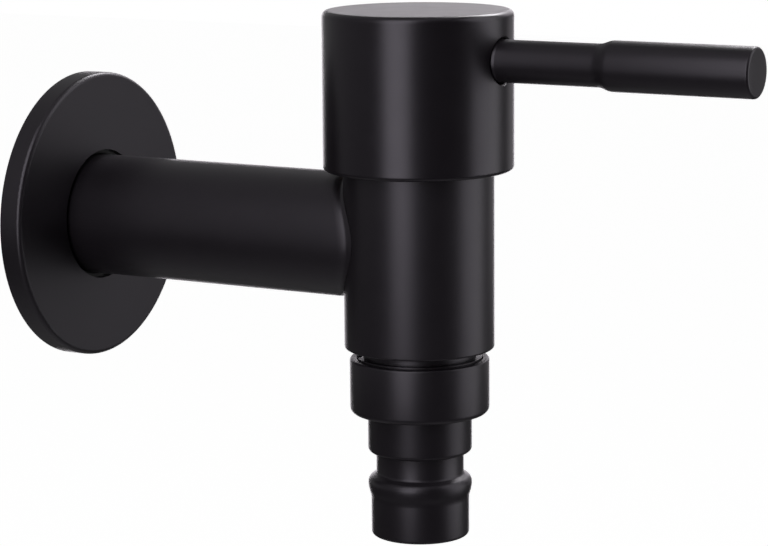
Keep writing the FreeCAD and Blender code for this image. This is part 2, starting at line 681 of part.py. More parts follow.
# Circlip: spring steel ring with two eyed ears, which keeps the spindle in the housing
circlip = turned("circlip", [
    ("Sizes.circlip_groove_radius + Sizes.circlip_play", f"{CIRCLIP} + Sizes.circlip_play"),
    ("Sizes.circlip_outer_radius", f"{CIRCLIP} + Sizes.circlip_play"),
    ("Sizes.circlip_outer_radius", f"{CIRCLIP} + Sizes.circlip_play + Sizes.circlip_thickness"),
    ("Sizes.circlip_groove_radius + Sizes.circlip_play",
     f"{CIRCLIP} + Sizes.circlip_play + Sizes.circlip_thickness"),
])
ears = new_sketch(circlip, "circlip_ears", "XY_Plane", f"{CIRCLIP} + Sizes.circlip_play")
draw_outline(ears, rectangle(
    "-Sizes.circlip_ear_width / 2", "Sizes.circlip_ear_width / 2",
    "Sizes.spindle_radius", "Sizes.circlip_ear_reach"))
raise_pad(circlip, "circlip_ears_pad", ears, "Sizes.circlip_thickness")
eyes = new_sketch(circlip, "circlip_eyes", "XY_Plane")
draw_circle(eyes, "Sizes.circlip_eye_spread", "Sizes.circlip_eye_reach", "Sizes.circlip_eye_radius")
draw_circle(eyes, "-Sizes.circlip_eye_spread", "Sizes.circlip_eye_reach", "Sizes.circlip_eye_radius")
cut(circlip, "circlip_eyes_cut", eyes)
gap = new_sketch(circlip, "circlip_gap", "XY_Plane")
draw_outline(gap, rectangle(
    "-Sizes.circlip_slot / 2", "Sizes.circlip_slot / 2", "0", "Sizes.circlip_ear_reach + Sizes.circlip_slot"))
cut(circlip, "circlip_gap_cut", gap)
stand_on_tap_axis(circlip)

# Guide ring: plastic ring around the body's top, on which the cap's skirt turns
guide_ring = turned("guide_ring", [
    (f"{GUIDE_GROOVE} + Sizes.running_gap", "Sizes.guide_groove_height + Sizes.guide_ring_gap"),
    ("Sizes.cap_cavity_radius - Sizes.guide_ring_gap", "Sizes.guide_groove_height + Sizes.guide_ring_gap"),
    ("Sizes.cap_cavity_radius - Sizes.guide_ring_gap",
     "Sizes.guide_groove_height + Sizes.guide_ring_gap + Sizes.guide_ring_thickness"),
    (f"{GUIDE_GROOVE} + Sizes.running_gap",
     "Sizes.guide_groove_height + Sizes.guide_ring_gap + Sizes.guide_ring_thickness"),
])
stand_on_tap_axis(guide_ring)

# Handle cap: turned brass cup with a serrated blind bore, a lever seat in front and a screw hole behind
handle_cap = turned("handle_cap", [
    ("0", "Sizes.cap_bore_top"),
    ("Sizes.spline_root_radius + Sizes.spline_gap", "Sizes.cap_bore_top"),
    ("Sizes.spline_root_radius + Sizes.spline_gap", CAP_HUB),
    ("Sizes.cap_cavity_radius", CAP_HUB),
    ("Sizes.cap_cavity_radius", "Sizes.cap_bottom"),
    ("Sizes.cap_radius", "Sizes.cap_bottom"),
    ("Sizes.cap_radius", "Sizes.cap_top"),
    ("0", "Sizes.cap_top"),
])
ease_rim(handle_cap, "Fillet", "Sizes.cap_top_edge", "Sizes.cap_radius", "Sizes.cap_top")
skirt_wall = "(Sizes.cap_radius - Sizes.cap_cavity_radius)"
skirt_edge = f"min(Sizes.cap_bottom_edge; {skirt_wall} / 2)"
ease_rim(handle_cap, "Fillet", skirt_edge, "Sizes.cap_radius", "Sizes.cap_bottom")
cap_serration = new_sketch(handle_cap, "cap_serration", "XY_Plane", CAP_HUB)
cap_bore = "(Sizes.spline_root_radius + Sizes.spline_gap - Sizes.ring_gap)"
cap_root = "(Sizes.spline_tip_radius + Sizes.spline_gap)"
serration(cap_serration, f"{PITCH_ANGLE} / 2", cap_bore, WIDE_ANGLE, cap_root, NARROW_ANGLE, cap_root)
cap_serration_cut = cut(
    handle_cap, "cap_serration_cut", cap_serration, f"Sizes.cap_bore_top - {CAP_HUB}", reverse=True)
around(handle_cap, cap_serration_cut, cap_serration, "Sizes.spline_count")
lever_hole = new_sketch(handle_cap, "lever_hole", "XZ_Plane", "Sizes.cap_radius")
draw_circle(lever_hole, "0", "Sizes.lever_height", "Sizes.lever_thread_radius + Sizes.thread_gap")
cut(handle_cap, "lever_hole_cut", lever_hole, "Sizes.cap_radius - Sizes.lever_hole_floor")
lever_seat = new_sketch(handle_cap, "lever_seat", "XZ_Plane", "Sizes.cap_radius")
draw_circle(lever_seat, "0", "Sizes.lever_height", "Sizes.shank_radius + Sizes.lever_seat_gap")
cut(handle_cap, "lever_seat_cut", lever_seat, "Sizes.lever_seat_depth")
ease_crossing(
    handle_cap, "Chamfer", "Sizes.lever_seat_chamfer",
    "Sizes.cap_radius", "Sizes.shank_radius + Sizes.lever_seat_gap")
screw_hole = new_sketch(handle_cap, "screw_hole", "XZ_Plane", "-Sizes.cap_radius")
draw_circle(screw_hole, "0", "Sizes.lever_height", "Sizes.screw_radius + Sizes.thread_gap")
cut(handle_cap, "screw_hole_cut", screw_hole, "Sizes.cap_radius - Sizes.spline_root_radius", reverse=True)
stand_on_tap_axis(handle_cap)

# Handle screw: grub screw from the wall side of the cap onto the spindle
screw_start = "(Sizes.spline_tip_radius + Sizes.screw_tip_gap)"
handle_screw = turned("handle_screw", [
    ("0", screw_start),
    ("Sizes.screw_point_radius", screw_start),
    ("Sizes.screw_radius", f"{screw_start} + Sizes.screw_point_length"),
    ("Sizes.screw_radius", f"{screw_start} + Sizes.screw_length"),
    ("0", f"{screw_start} + Sizes.screw_length"),
])
socket = new_sketch(handle_screw, "screw_socket", "XY_Plane", f"{screw_start} + Sizes.screw_length")
draw_outline(socket, hexagon("Sizes.screw_socket_across"))
cut(handle_screw, "screw_socket_cut", socket, "Sizes.screw_socket_depth")
lay_at_lever(handle_screw, TO_THE_WALL)

# Lever: one turned bar with a screwed end, a slim shank and a thicker grip
lever = turned("lever", [
    ("0", "Sizes.lever_thread_start"),
    ("Sizes.lever_thread_radius", "Sizes.lever_thread_start"),
    ("Sizes.lever_thread_radius", LEVER_SEAT),
    ("Sizes.shank_radius", LEVER_SEAT),
    ("Sizes.shank_radius", "Sizes.shoulder_start"),
    ("Sizes.grip_radius", "Sizes.shoulder_end"),
    ("Sizes.grip_radius", "Sizes.lever_reach"),
    ("0", "Sizes.lever_reach"),
])
ease_rim(lever, "Chamfer", "Sizes.lever_edge", "Sizes.grip_radius", "Sizes.lever_reach")
lay_at_lever(lever, ALONG_ARM)

# Hose connector: turned brass, screwed onto the outlet, with a waist and bead for a push-on coupling
hose_connector = turned("hose_connector", [
    (THREAD_BORE, CONNECTOR_TOP),
    ("Sizes.connector_radius", CONNECTOR_TOP),
    ("Sizes.connector_radius", "-Sizes.connector_bottom"),
    ("Sizes.step_radius", "-Sizes.connector_bottom"),
    ("Sizes.step_radius", "-Sizes.step_bottom"),
    ("Sizes.waist_radius", "-Sizes.step_bottom"),
    ("Sizes.waist_radius", "-Sizes.bead_top"),
    ("Sizes.bead_radius", BEAD_CREST),
    ("Sizes.bead_radius", f"({BEAD_CREST} - Sizes.bead_land)"),
    ("Sizes.tip_radius", "-Sizes.tip_top"),
    ("Sizes.tip_radius", "-Sizes.tip_bottom"),
    ("Sizes.connector_bore_radius", "-Sizes.tip_bottom"),
    ("Sizes.connector_bore_radius", GASKET_SEAT),
    (THREAD_BORE, GASKET_SEAT),
])
ease_rim(hose_connector, "Chamfer", "Sizes.connector_top_chamfer", "Sizes.connector_radius", CONNECTOR_TOP)
ease_rim(
    hose_connector, "Fillet", "Sizes.connector_edge", "Sizes.connector_radius", "-Sizes.connector_bottom")
ease_rim(hose_connector, "Fillet", "Sizes.step_edge", "Sizes.step_radius", "-Sizes.step_bottom")
ease_rim(hose_connector, "Fillet", "Sizes.bead_cove", "Sizes.waist_radius", "-Sizes.bead_top")
ease_rim(hose_connector, "Fillet", "Sizes.bead_crest", "Sizes.bead_radius", BEAD_CREST)
ease_rim(hose_connector, "Fillet", "Sizes.tip_edge", "Sizes.tip_radius", "-Sizes.tip_bottom")
stand_on_tap_axis(hose_connector)

# Connector gasket: rubber washer between the outlet and the connector's floor
connector_gasket = turned("connector_gasket", [
    ("Sizes.gasket_bore_radius", GASKET_SEAT),
    ("Sizes.gasket_radius", GASKET_SEAT),
    ("Sizes.gasket_radius", OUTLET_END),
    ("Sizes.gasket_bore_radius", OUTLET_END),
])
stand_on_tap_axis(connector_gasket)

doc.recompute()
for item in doc.Objects:
    if "Invalid" in item.State or "Error" in item.State:
        raise RuntimeError(f"{item.Label} failed to build: {item.State}")
for node in nodes:
    if node.Shape.isNull() or not node.Shape.isValid():
        raise RuntimeError(f"{node.Label} has no valid shape")

os.makedirs("parts", exist_ok=True)
for node in nodes:
    node.Shape.exportStep(f"parts/{node.Label}.step")
    print(f"{node.Label}: {len(node.Shape.Solids)} solids, {node.Shape.Volume:.1f} mm3")
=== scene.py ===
import math

import bmesh
import bpy
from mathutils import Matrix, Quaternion, Vector


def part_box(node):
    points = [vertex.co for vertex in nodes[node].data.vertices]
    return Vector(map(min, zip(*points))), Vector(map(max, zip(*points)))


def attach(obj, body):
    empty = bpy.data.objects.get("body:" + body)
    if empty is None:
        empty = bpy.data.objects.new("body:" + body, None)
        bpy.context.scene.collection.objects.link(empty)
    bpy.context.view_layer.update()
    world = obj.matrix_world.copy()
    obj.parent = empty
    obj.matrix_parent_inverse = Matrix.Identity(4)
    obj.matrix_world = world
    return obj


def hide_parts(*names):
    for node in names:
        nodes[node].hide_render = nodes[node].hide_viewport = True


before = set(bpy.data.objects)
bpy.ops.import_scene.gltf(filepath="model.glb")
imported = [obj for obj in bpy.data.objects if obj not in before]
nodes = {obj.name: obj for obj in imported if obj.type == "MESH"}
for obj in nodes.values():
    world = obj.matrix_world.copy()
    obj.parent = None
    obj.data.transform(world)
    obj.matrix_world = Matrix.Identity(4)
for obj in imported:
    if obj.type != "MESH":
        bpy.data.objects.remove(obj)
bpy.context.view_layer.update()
scene = bpy.context.scene
scene.view_settings.view_transform = "Standard"
bpy.ops.object.select_all(action="DESELECT")

# Camera: the tap is seen from the side of its lever, a little from above, through a long lens that stands
# about half a metre away.
camera_azimuth = math.radians(-59.912)
camera_elevation = math.radians(9.292)
camera_roll = math.radians(-0.565)
camera = bpy.data.objects.new("camera", bpy.data.cameras.new("camera"))
scene.collection.objects.link(camera)
scene.camera = camera
camera.data.sensor_width = 36.0
camera.data.lens = 132.09
camera.data.shift_x = 0.0521
camera.data.shift_y = -0.0521
camera.location = (-0.40494, -0.28768, 0.07666)
camera_back = Vector((
    math.sin(camera_azimuth) * math.cos(camera_elevation),
    -math.cos(camera_azimuth) * math.cos(camera_elevation),
    math.sin(camera_elevation),
))
camera.rotation_mode = "QUATERNION"
camera.rotation_quaternion = camera_back.to_track_quat("Z", "Y") @ Quaternion((0, 0, 1), camera_roll)


class Wire:
    """One value in a material: a sum on it adds the node that works the sum out."""

    def __init__(self, tree, socket=None):
        self.tree = tree
        self.socket = socket

    def node(self, kind, settings=None, inputs=None, output=0):
        """Add any node: its settings first, then the values or links of its sockets."""
        made = self.tree.nodes.new(kind)
        for name, value in (settings or {}).items():
            setattr(made, name, value)
        for name, value in (inputs or {}).items():
            if isinstance(value, Wire):
                self.tree.links.new(value.socket, made.inputs[name])
            else:
                made.inputs[name].default_value = value
        return Wire(self.tree, made.outputs[output]) if made.outputs else None

    def into(self, node, socket):
        """Join this wire to a socket of a node that is there already."""
        self.tree.links.new(self.socket, node.inputs[socket])

    def maths(self, operation, *values):
        """Add a Math node for an operation on wires and numbers."""
        return self.node("ShaderNodeMath", {"operation": operation}, dict(enumerate(values)))

    def __add__(self, other):
        return self.maths("ADD", self, other)

    def __rsub__(self, other):
        return self.maths("SUBTRACT", other, self)

    def __mul__(self, other):
        return self.maths("MULTIPLY", self, other)

    def __gt__(self, other):
        return self.maths("GREATER_THAN", self, other)

    def __lt__(self, other):
        return self.maths("LESS_THAN", self, other)

    __radd__ = __add__
    __rmul__ = __mul__


# Floor: a plain pale sheet far below the tap. It looks white to the camera and throws the lamps' light back
# up softly, and reflections see it bright only away from the tap, as they see a backdrop.
floor_height = -1.0
floor_near = 1.65
floor_far = 4.2
floor_size = 20
floor_grey = (0.5, 0.5, 0.5, 1)
floor_seen = 0.985
floor_mirrored = 0.08
bpy.ops.mesh.primitive_plane_add(size=floor_size, location=(0, 0, floor_height))
floor = bpy.context.object
floor.name = "floor"
bpy.ops.object.transform_apply(location=True)
floor_paint = bpy.data.materials.new("floor_paint")
floor_paint.use_nodes = True
floor_paint.node_tree.nodes.clear()
paint = Wire(floor_paint.node_tree)
spot = paint.node("ShaderNodeTexCoord", output=3)
level_spot = paint.node("ShaderNodeVectorMath", {"operation": "MULTIPLY"}, {0: spot, 1: (1, 1, 0)})
away = paint.node("ShaderNodeVectorMath", {"operation": "LENGTH"}, {0: level_spot}, output=1)
far = paint.node("ShaderNodeMapRange", {"interpolation_type": "SMOOTHSTEP"}, {
    "Value": away, "From Min": floor_near, "From Max": floor_far})
seen = paint.node("ShaderNodeLightPath", output=0)
mirrored = paint.node("ShaderNodeLightPath", output=3) + paint.node("ShaderNodeLightPath", output=6)
matt = paint.node("ShaderNodeBsdfDiffuse", inputs={"Color": floor_grey})
glow = paint.node("ShaderNodeEmission", inputs={
    "Strength": floor_seen * seen + floor_mirrored * far * mirrored})
both = paint.node("ShaderNodeAddShader", inputs={0: matt, 1: glow})
paint.node("ShaderNodeOutputMaterial", inputs={"Surface": both})
floor.data.materials.append(floor_paint)

# World: white where the camera sees it, and a nearly dark room for everything else, so that only the lamps
# and the floor show in the black coat.
room_light = 0.005
world = bpy.data.worlds.new("room")
world.use_nodes = True
world.node_tree.nodes.clear()
room = Wire(world.node_tree)
to_camera = room.node("ShaderNodeLightPath", output=0)
air = room.node("ShaderNodeBackground", inputs={
    "Color": (1, 1, 1, 1), "Strength": room_light + (1 - room_light) * to_camera})
room.node("ShaderNodeOutputWorld", inputs={"Surface": air})
scene.world = world


def softbox(name, azimuth, elevation, width, height, brightness, tint=(1, 1, 1), distance=0.9):
    """Hang a soft lamp that faces the tap; azimuth turns from +X towards +Y, in degrees."""
    lamp = bpy.data.lights.new(name, "AREA")
    lamp.color = tint
    lamp.shape = "RECTANGLE"
    lamp.size = 2 * distance * math.tan(math.radians(width / 2))
    lamp.size_y = 2 * distance * math.tan(math.radians(height / 2))
    lamp.energy = brightness * math.pi * lamp.size * lamp.size_y
    towards = Vector((
        math.cos(math.radians(azimuth)) * math.cos(math.radians(elevation)),
        math.sin(math.radians(azimuth)) * math.cos(math.radians(elevation)),
        math.sin(math.radians(elevation)),
    ))
    hung = bpy.data.objects.new(name, lamp)
    scene.collection.objects.link(hung)
    hung.location = tap_middle + towards * distance
    hung.rotation_mode = "QUATERNION"
    hung.rotation_quaternion = towards.to_track_quat("Z", "Y")
    hung.visible_camera = False


# Lamps: a tall softbox left of the tap, one to its right, four behind it, a wide weak one over the wall
# side and a weak one overhead. Angles are in degrees, as seen from the tap.
tap_middle = Vector((0, -0.056, -0.006))
rear_tint = (1.0, 0.95, 1.0)
softbox("key_lamp", azimuth=183.5, elevation=21, width=32, height=76, brightness=3.2)
softbox("side_lamp", azimuth=297.5, elevation=14, width=46, height=76, brightness=1.66)
softbox("back_lamp", azimuth=30, elevation=-7.5, width=40, height=35, brightness=2.85, tint=rear_tint)
softbox("rear_lamp", azimuth=0, elevation=24, width=44, height=24, brightness=1.35, tint=rear_tint)
softbox("edge_lamp", azimuth=355, elevation=0, width=26, height=24, brightness=0.4, tint=rear_tint)
softbox("crest_lamp", azimuth=2, elevation=39, width=24, height=13, brightness=14)
softbox("wall_lamp", azimuth=96, elevation=28, width=115, height=76, brightness=0.26)
softbox("top_lamp", azimuth=200, elevation=80, width=50, height=50, brightness=0.42)

# Inlet tail: a brass connector that screws into the elbow in the wall. It is turned from bar,
# its half-inch pipe thread is cut on the lathe, and its thin end is brazed inside the arm.
tail_low, tail_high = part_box("inlet_tail")
wall_centre = Vector((0, 0, 0))
into_wall = Vector((0, 1, 0))
thread_radius = tail_high.x
thread_pitch = 0.001814
thread_depth = 0.00105
thread_flank = math.radians(27.5)
thread_half_mouth = 0.41
thread_clearance = 0.15
tail_turns = 7
tail_bore = 0.0065
tail_chamfer = 0.0011
run_out_radius = 0.0094
run_out_width = 0.0012
spigot_radius = 0.00845
tail_edge = 0.0003
run_out_edge = 0.0002
same_place = 1e-6
smooth_below = math.radians(30)


def draw_loop(name, places, closed):
    """Draw a line of edges through places, point by point."""
    bpy.ops.object.select_all(action="DESELECT")
    bpy.ops.mesh.primitive_plane_add(size=0.001)
    drawn = bpy.context.object
    drawn.name = name
    bpy.ops.object.mode_set(mode="EDIT")
    bpy.ops.mesh.merge(type="CENTER")
    bpy.ops.transform.translate(value=places[0])
    stops = places + places[:1] if closed else places
    for before, after in zip(stops, stops[1:]):
        bpy.ops.mesh.extrude_vertices_move(TRANSFORM_OT_translate={"value": after - before})
    bpy.ops.mesh.select_all(action="SELECT")
    bpy.ops.mesh.remove_doubles(threshold=same_place)
    return drawn


def turn(name, centre, axis, section, steps=144):
    """Turn a piece: draw half its section beside the axis, round its corners and spin it once.

    The section holds (radius, place along the axis) and, where a corner is rounded, how far
    the rounding reaches.
    """
    places = [centre + Vector((corner[0], 0, 0)) + axis * corner[1] for corner in section]
    piece = draw_loop(name, places, closed=section[0][0] > 0)
    for place, corner in zip(places, section):
        if len(corner) == 3:
            bpy.ops.mesh.select_all(action="DESELECT")
            for vertex in bmesh.from_edit_mesh(piece.data).verts:
                vertex.select = (vertex.co - place).length < same_place
            bpy.ops.mesh.bevel(offset=corner[2], segments=6, affect="VERTICES")
    bpy.ops.mesh.select_all(action="SELECT")
    bpy.ops.mesh.spin(steps=steps, angle=2 * math.pi, center=centre, axis=axis)
    bpy.ops.mesh.select_all(action="SELECT")
    bpy.ops.mesh.remove_doubles(threshold=same_place)
    bpy.ops.mesh.normals_make_consistent(inside=False)
    bpy.ops.object.mode_set(mode="OBJECT")
    bpy.ops.object.shade_smooth_by_angle(angle=smooth_below)
    return piece


def cut_away(piece, cutter):
    """Take a cutter's shape out of a piece and remove the cutter."""
    bpy.ops.object.select_all(action="DESELECT")
    bpy.context.view_layer.objects.active = piece
    piece.select_set(True)
    cut = piece.modifiers.new("cut", "BOOLEAN")
    cut.operation = "DIFFERENCE"
    cut.solver = "EXACT"
    cut.object = cutter
    bpy.ops.object.modifier_apply(modifier=cut.name)
    bpy.data.objects.remove(cutter)
    bpy.ops.object.shade_smooth_by_angle(angle=smooth_below)


def cut_thread(piece, centre, axis, turns, radius, pitch, depth, steps=96, start=0.0):
    """Cut an outside thread along the axis: a V-shaped groove wound by a Screw modifier.

    The groove starts at the centre's height, at the angle start round the axis.
    """
    clear = thread_clearance * depth
    slope = math.tan(thread_flank)
    mouth = thread_half_mouth * pitch + clear * slope
    root = mouth - (depth + clear) * slope
    groove = draw_loop("groove", [
        Vector((radius + clear, 0, -mouth)),
        Vector((radius - depth, 0, -root)),
        Vector((radius - depth, 0, root)),
        Vector((radius + clear, 0, mouth)),
    ], closed=True)
    bpy.ops.object.mode_set(mode="OBJECT")
    groove.location = centre
    groove.rotation_mode = "QUATERNION"
    groove.rotation_quaternion = Quaternion(axis, start) @ axis.to_track_quat("Z", "X")
    wound = groove.modifiers.new("wound", "SCREW")
    wound.screw_offset = pitch
    wound.iterations = turns
    wound.steps = wound.render_steps = steps
    bpy.ops.object.modifier_apply(modifier=wound.name)
    bpy.ops.object.mode_set(mode="EDIT")
    bpy.ops.mesh.select_all(action="SELECT")
    bpy.ops.mesh.remove_doubles(threshold=same_place)
    bpy.ops.mesh.fill_holes(sides=4)
    bpy.ops.mesh.select_all(action="SELECT")
    bpy.ops.mesh.normals_make_consistent(inside=False)
    bpy.ops.object.mode_set(mode="OBJECT")
    cut_away(piece, groove)


tail = turn("threaded_tail", wall_centre, into_wall, [
    (tail_bore, tail_high.y, tail_edge),
    (thread_radius - tail_chamfer, tail_high.y),
    (thread_radius, tail_high.y - tail_chamfer),
    (thread_radius, 0),
    (run_out_radius, 0, run_out_edge),
    (run_out_radius, -run_out_width),
    (spigot_radius, -run_out_width),
    (spigot_radius, tail_low.y, tail_edge),
    (tail_bore, tail_low.y, tail_edge),
])
cut_thread(
    tail, Vector((0, -run_out_width / 2, 0)), into_wall, tail_turns,
    thread_radius, thread_pitch, thread_depth)

bright_brass = (0.72, 0.50, 0.20, 1)
dull_brass = (0.52, 0.34, 0.13, 1)


def start_material(name, metallic=0.0, rough=0.5):
    """Start a material, and give it with its shader and the piece's own coordinates."""
    made = bpy.data.materials.new(name)
    made.use_nodes = True
    shader = made.node_tree.nodes["Principled BSDF"]
    shader.inputs["Metallic"].default_value = metallic
    shader.inputs["Roughness"].default_value = rough
    return made, shader, Wire(made.node_tree).node("ShaderNodeTexCoord", output=3)


def from_axis(here, centre, upright):
    """Give a point's distance from the piece's own axis, and its place along it."""
    moved = here.node("ShaderNodeVectorMath", {"operation": "SUBTRACT"}, {0: here, 1: centre})
    flat = (1, 1, 0) if upright else (1, 0, 1)
    across = here.node("ShaderNodeVectorMath", {"operation": "MULTIPLY"}, {0: moved, 1: flat})
    radius = here.node("ShaderNodeVectorMath", {"operation": "LENGTH"}, {0: across}, output=1)
    along = here.node("ShaderNodeSeparateXYZ", inputs={0: moved}, output=2 if upright else 1)
    return radius, along


def turning_marks(radius, along):
    """Fine rings that the lathe's tool leaves round a turned face, as heights from 0 to 1."""
    tool = radius.node("ShaderNodeCombineXYZ", inputs={0: radius, 1: along})
    return radius.node("ShaderNodeTexNoise", inputs={
        "Vector": tool, "Scale": 9000.0, "Detail": 3.0, "Roughness": 0.6})


def raw_brass(name, centre, upright):
    """Bare turned brass with lathe rings and a faint uneven tarnish."""
    made, shader, here = start_material(name, metallic=1.0)
    radius, along = from_axis(here, centre, upright)
    rings = turning_marks(radius, along)
    tarnish = here.node("ShaderNodeTexNoise", inputs={"Vector": here, "Scale": 160.0, "Detail": 4.0})
    tint = here.node("ShaderNodeMix", {"data_type": "RGBA"}, {
        0: tarnish, 6: bright_brass, 7: dull_brass}, output=2)
    tint.into(shader, "Base Color")
    (0.22 + 0.12 * tarnish + 0.08 * rings).into(shader, "Roughness")
    here.node("ShaderNodeBump", inputs={
        "Height": rings, "Strength": 0.35, "Distance": 0.00002}).into(shader, "Normal")
    return made


def paint_piece(piece, made):
    """Give a piece one material."""
    piece.data.materials.clear()
    piece.data.materials.append(made)


paint_piece(tail, raw_brass("tail_brass", wall_centre, upright=False))
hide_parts("inlet_tail")
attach(tail, "fixed")

# Inlet arm: a brass tube, coped to the round of the body and brazed to it. Its end is rounded outside, so
# that the joint shows as a shallow groove. It is sprayed black with the body, and its bore stays bare.
arm_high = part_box("inlet_arm")[1]
body_low, body_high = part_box("valve_body")
body_centre = Vector((0, (body_low.y + body_high.y) / 2, 0))
body_radius = body_high.x
arm_radius = arm_high.x
arm_bore = 0.0085
arm_reach = -body_centre.y
braze_gap = 0.00005
joint_depth = 0.0002
joint_middle = 0.0004
joint_width = 0.0013
joint_start = 2.5 * joint_width
joint_rounding = 0.0005
coped_width = 3 * joint_width
arm_edge = 0.0002
arm_stop = arm_reach - body_radius - braze_gap
out_from_wall = Vector((0, -1, 0))
arm = turn("arm_tube", wall_centre, out_from_wall, [
    (arm_bore, -arm_high.y, arm_edge),
    (arm_radius, -arm_high.y, arm_edge),
    (arm_radius, arm_stop - joint_start),
    (arm_radius, arm_stop - joint_width, joint_rounding),
    (arm_radius - joint_depth, arm_stop - joint_middle, arm_edge),
    (arm_radius, arm_stop),
    (arm_bore, arm_stop),
], steps=192)

# Coping: the arm's end is moved along the arm until it follows the round of the body.
for vertex in arm.data.vertices:
    stand = arm_reach + vertex.co.y
    if stand < body_radius + coped_width:
        vertex.co.y = math.sqrt(stand ** 2 - vertex.co.x ** 2) - arm_reach
arm.data.update()

coat_dark = (0.0054, 0.0042, 0.0057, 1)
coat_light = (0.0068, 0.0054, 0.0071, 1)
coat_sheen = (0.94, 0.875, 1.0, 1)
coat_rough = 0.36
small_gloss = 0.43
bare_brass = (0.66, 0.45, 0.18, 1)
sprayed_skin = 0.001


def black_coat(name, bare=None, rough=coat_rough, gloss=0.5):
    """Satin black coating with a fine grain over brass, and the bare brass where bare is 1."""
    made, shader, here = start_material(name)
    shader.inputs["Specular Tint"].default_value = coat_sheen
    shader.inputs["Specular IOR Level"].default_value = gloss
    mottle = here.node("ShaderNodeTexNoise", inputs={"Vector": here, "Scale": 260.0, "Detail": 3.0})
    grain = here.node("ShaderNodeTexNoise", inputs={"Vector": here, "Scale": 5200.0, "Detail": 1.0})
    tone = here.node("ShaderNodeMix", {"data_type": "RGBA"}, {
        0: mottle, 6: coat_dark, 7: coat_light}, output=2)
    if bare is not None:
        mask = bare(here)
        tone = here.node("ShaderNodeMix", {"data_type": "RGBA"}, {
            0: mask, 6: tone, 7: bare_brass}, output=2)
        mask.into(shader, "Metallic")
    tone.into(shader, "Base Color")
    (rough + 0.05 * mottle).into(shader, "Roughness")
    here.node("ShaderNodeBump", inputs={
        "Height": grain, "Strength": 0.12, "Distance": 0.00001}).into(shader, "Normal")
    return made


def bare_inside(radius):
    """A mask for bare metal nearer the arm's axis than a radius."""
    return lambda here: from_axis(here, wall_centre, upright=False)[0] < radius


paint_piece(arm, black_coat("arm_coat", bare_inside(arm_radius - sprayed_skin)))
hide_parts("inlet_arm")
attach(arm, "fixed")

# Valve body: a round brass bar, drilled from both ends and from the side, with the pipe thread for
# the hose connector cut below. The arm is brazed over the side port, and both are sprayed together.
up = Vector((0, 0, 1))
guide_low, guide_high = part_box("guide_ring")
seat_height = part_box("seat_seal")[0].z
outlet_bore = 0.006
chamber_radius = 0.0093
port_radius = 0.0065
body_shoulder = -0.01805
body_run_out = -0.0195
body_edge = 0.0004
outer_edge = 0.0006
bore_edge = 0.0003
seat_edge = 0.0002
guide_play = 0.0001
guide_groove = 0.01175
fine_play = 0.00005
housing_bore = thread_radius + fine_play
housing_floor = 0.0082
last_groove = -0.0196
outlet_turns = 4
thread_start = math.radians(-50)
sprayed_low = -0.0215
body = turn("threaded_body", body_centre, up, [
    (outlet_bore, body_low.z, bore_edge),
    (thread_radius, body_low.z, outer_edge),
    (thread_radius, body_run_out),
    (run_out_radius, body_run_out),
    (run_out_radius, body_shoulder, bore_edge),
    (body_radius, body_shoulder, body_edge),
    (body_radius, guide_low.z - guide_play),
    (guide_groove, guide_low.z - guide_play),
    (guide_groove, guide_high.z + guide_play),
    (body_radius, guide_high.z + guide_play),
    (body_radius, body_high.z, bore_edge),
    (housing_bore, body_high.z, bore_edge),
    (housing_bore, housing_floor),
    (chamber_radius, housing_floor),
    (chamber_radius, seat_height),
    (outlet_bore, seat_height, seat_edge),
], steps=192)
bpy.ops.object.select_all(action="DESELECT")
bpy.ops.mesh.primitive_cylinder_add(
    vertices=96, radius=port_radius, depth=2 * body_radius,
    location=body_centre + body_radius * into_wall, rotation=(math.pi / 2, 0, 0))
cut_away(body, bpy.context.object)
cut_thread(
    body, body_centre + Vector((0, 0, last_groove - outlet_turns * thread_pitch)), up, outlet_turns,
    thread_radius, thread_pitch, thread_depth, start=thread_start)


def bare_bores(here):
    """A mask for the body's bare metal: its bores, and both threads beyond the sprayed neck."""
    out, height = from_axis(here, body_centre, upright=True)
    sprayed = (height > sprayed_low) * (height < housing_floor)
    bores = out < chamber_radius + fine_play
    return bores.maths("MAXIMUM", bores, (out < housing_bore + bore_edge) * (1 - sprayed))


paint_piece(body, black_coat("body_coat", bare_bores))
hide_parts("valve_body")
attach(body, "fixed")

# Seat seal: a moulded silicone ring on the seat at the bottom of the body's chamber. It presses the fixed
# disc up against the housing.
silicone_red = (0.50, 0.09, 0.05, 1)
silicone_worn = (0.60, 0.16, 0.10, 1)


def moulded_rubber(name, colour, worn):
    """Moulded rubber: a matt, slightly mottled skin."""
    made, shader, here = start_material(name)
    shader.inputs["Specular IOR Level"].default_value = 0.35
    skin = here.node("ShaderNodeTexNoise", inputs={"Vector": here, "Scale": 900.0, "Detail": 4.0})
    bloom = here.node("ShaderNodeTexNoise", inputs={"Vector": here, "Scale": 220.0, "Detail": 2.0})
    here.node("ShaderNodeMix", {"data_type": "RGBA"}, {
        0: bloom, 6: colour, 7: worn}, output=2).into(shader, "Base Color")
    (0.55 + 0.2 * skin).into(shader, "Roughness")
    here.node("ShaderNodeBump", inputs={
        "Height": skin, "Strength": 0.3, "Distance": 0.00002}).into(shader, "Normal")
    return made


paint_piece(nodes["seat_seal"], moulded_rubber("silicone", silicone_red, silicone_worn))

# Discs: two ceramic discs, lapped so flat that they seal. The housing's keys hold the lower one,
# and the upper one turns on it.
ceramic_white = (0.88, 0.87, 0.84, 1)
ceramic_cream = (0.80, 0.78, 0.73, 1)
speck_radius = 0.12


